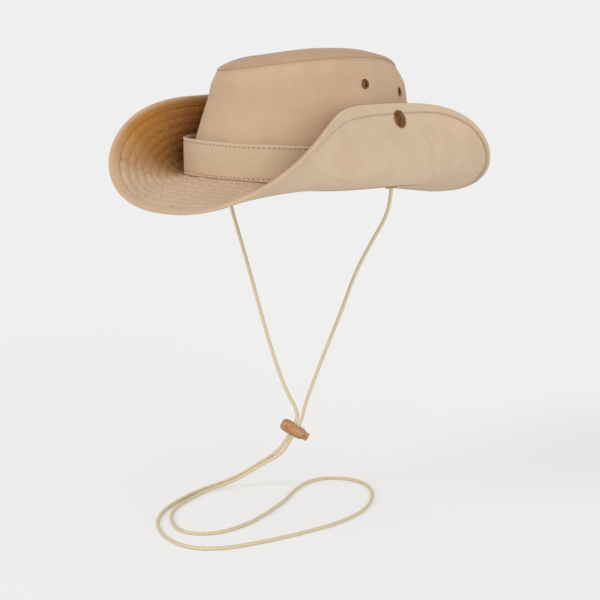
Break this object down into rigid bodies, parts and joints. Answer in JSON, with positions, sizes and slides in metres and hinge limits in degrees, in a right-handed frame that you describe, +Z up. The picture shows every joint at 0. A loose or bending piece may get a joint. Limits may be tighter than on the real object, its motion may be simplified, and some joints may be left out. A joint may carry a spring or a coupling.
{
  "type": "boonie hat",
  "caption": "Wide-brimmed cloth sun hat with an oval crown, sides of the brim snapped up, vent eyelets, and a chin cord with a wooden slide toggle.",
  "frame": {"origin": "centre of the head opening, in the plane where the crown meets the brim", "axes": "+Z up through the crown, -Y to the front of the hat, +X to the wearer's left"},
  "size_m": [0.2046, 0.3531, 0.347],
  "materials": {
    "canvas": "khaki tan cotton canvas",
    "interlining": "stiff undyed interlining",
    "sweatband": "soft cotton tape",
    "tape": "cotton seam tape",
    "antique_brass": "antiqued brass",
    "cord": "braided straw-coloured cord",
    "toggle_wood": "stained, waxed wood"
  },
  "bodies": {
    "hat": {"brim_upper_cloth": "canvas", "brim_interlining": "interlining", "brim_lower_cloth": "canvas", "crown_side_panel": "canvas", "crown_tip": "canvas", "crown_seam_tape": "tape", "headband": "canvas", "sweatband": "sweatband", "eyelet_left_front": "antique_brass", "eyelet_left_rear": "antique_brass", "eyelet_right_front": "antique_brass", "eyelet_right_rear": "antique_brass", "eyelet_washer_left_front": "antique_brass", "eyelet_washer_left_rear": "antique_brass", "eyelet_washer_right_front": "antique_brass", "eyelet_washer_right_rear": "antique_brass", "snap_stud_left": "antique_brass", "snap_stud_right": "antique_brass", "snap_back_plate_left": "antique_brass", "snap_back_plate_right": "antique_brass", "cord_tab_left": "canvas", "cord_tab_right": "canvas", "chin_cord_left": "cord", "chin_cord_right": "cord", "chin_cord_loop": "cord"},
    "left_flap": {"left_flap_upper_cloth": "canvas", "left_flap_interlining": "interlining", "left_flap_lower_cloth": "canvas", "snap_cap_left": "antique_brass", "snap_socket_left": "antique_brass"},
    "right_flap": {"right_flap_upper_cloth": "canvas", "right_flap_interlining": "interlining", "right_flap_lower_cloth": "canvas", "snap_cap_right": "antique_brass", "snap_socket_right": "antique_brass"},
    "toggle": {"toggle": "toggle_wood"}
  },
  "joints": [
    {"name": "left_brim_flap", "type": "hinge", "parent": "hat", "child": "left_flap", "pos_m": [0.094, 0, 0.012], "axis": [0, 1, 0], "range_deg": [0, 85]},
    {"name": "right_brim_flap", "type": "hinge", "parent": "hat", "child": "right_flap", "pos_m": [-0.094, 0, 0.012], "axis": [0, -1, 0], "range_deg": [0, 85]},
    {"name": "toggle_slide", "type": "slide", "parent": "hat", "child": "toggle", "axis": [0, 0, 1], "range_m": [0, 0.085], "deforming": ["chin_cord_left", "chin_cord_right", "chin_cord_loop"]}
  ]
}
